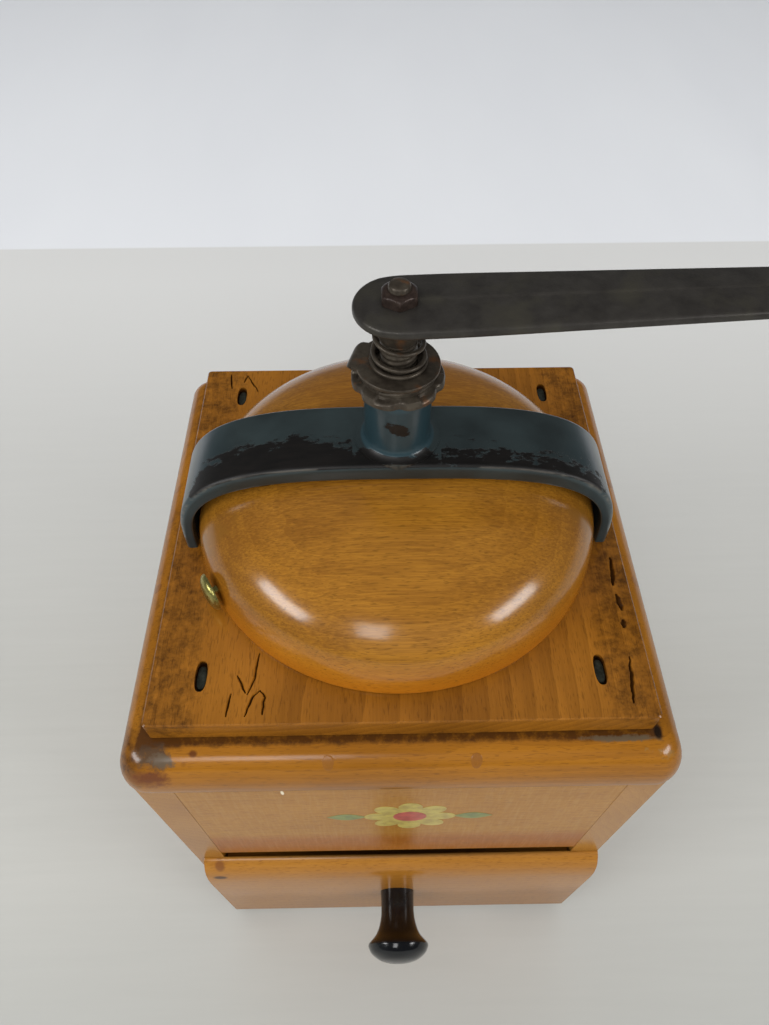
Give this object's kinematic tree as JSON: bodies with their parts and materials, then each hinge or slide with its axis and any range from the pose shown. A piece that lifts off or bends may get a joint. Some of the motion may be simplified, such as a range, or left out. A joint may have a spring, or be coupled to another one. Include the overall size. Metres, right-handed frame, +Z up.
{
  "type": "hand crank coffee grinder",
  "caption": "Wooden box coffee mill with a turning dome over the hopper, an iron strap, a top crank with a turned grip, a cone burr set below and a drawer for the grounds.",
  "frame": {"origin": "centre of the box's footprint, on the surface that it stands on", "axes": "+Z up along the crank shaft, -Y towards the drawer front, +X towards the crank's grip at rest"},
  "size_m": [0.1929, 0.1405, 0.2473],
  "materials": {
    "beech_box": "honey-varnished beech, gloss",
    "beech_board": "darker varnished beech with worn edges",
    "beech_dome": "turned beech under gloss varnish",
    "beech_raw": "unvarnished beech",
    "enamel": "blue-black stove enamel, chipped",
    "dark_steel": "blackened forged steel",
    "worn_steel": "brown patina on steel",
    "rusty_steel": "red-brown rust film on steel",
    "nail_steel": "dull steel",
    "burr_steel": "hardened grey iron",
    "cast_iron": "rough sand-cast",
    "tinplate": "dull tinned sheet",
    "brass": "aged brass",
    "black_lacquer": "black lacquer over turned wood, gloss"
  },
  "bodies": {
    "box": {"base_board": "beech_board", "left_wall": "beech_box", "right_wall": "beech_box", "front_panel": "beech_box", "back_wall": "beech_box", "base_nails": "nail_steel", "top_plate": "beech_box", "plate_nails": "nail_steel", "top_board": "beech_board", "board_nails": "nail_steel", "hopper_funnel": "tinplate", "strap": "enamel", "strap_washers": "dark_steel", "burr_housing": "cast_iron", "housing_screws": "nail_steel", "outer_burr": "burr_steel", "lower_bridge": "cast_iron", "bridge_screws": "nail_steel"},
    "dome": {"dome": "beech_dome", "dome_tack": "brass"},
    "drive": {"drive_shaft": "worn_steel", "inner_burr": "burr_steel", "burr_pin": "nail_steel", "crank_arm": "dark_steel", "crank_nut": "rusty_steel", "crank_spring": "worn_steel", "grip_pin": "dark_steel", "grip_washers": "dark_steel"},
    "adjuster": {"adjusting_nut": "worn_steel"},
    "lock": {"locking_plate": "worn_steel"},
    "grip": {"grip": "beech_dome"},
    "drawer": {"drawer_front": "beech_box", "drawer_left_side": "beech_raw", "drawer_right_side": "beech_raw", "drawer_back": "beech_raw", "drawer_bottom": "beech_raw", "drawer_nails": "nail_steel", "drawer_knob": "black_lacquer", "knob_screw": "nail_steel"}
  },
  "joints": [
    {"name": "crank_spin", "type": "hinge", "parent": "box", "child": "drive", "pos_m": [0, 0, 0.18], "axis": [0, 0, 1], "continuous": true},
    {"name": "dome_turn", "type": "hinge", "parent": "box", "child": "dome", "pos_m": [0, 0, 0.15], "axis": [0, 0, 1], "range_deg": [0, 125]},
    {"name": "adjuster_turn", "type": "hinge", "parent": "drive", "child": "adjuster", "pos_m": [0, 0, 0.191], "axis": [0, 0, 1], "range_deg": [-180, 180]},
    {"name": "lock_lift", "type": "slide", "parent": "drive", "child": "lock", "axis": [0, 0, 1], "range_m": [0, 0.002], "stiffness_N_per_m": 600, "springref_m": -0.003, "deforming": ["crank_spring"]},
    {"name": "grip_spin", "type": "hinge", "parent": "drive", "child": "grip", "pos_m": [0.12187, 0.00553, 0.22], "axis": [0, 0, 1], "continuous": true},
    {"name": "drawer_slide", "type": "slide", "parent": "box", "child": "drawer", "axis": [0, -1, 0], "range_m": [0, 0.09]}
  ]
}
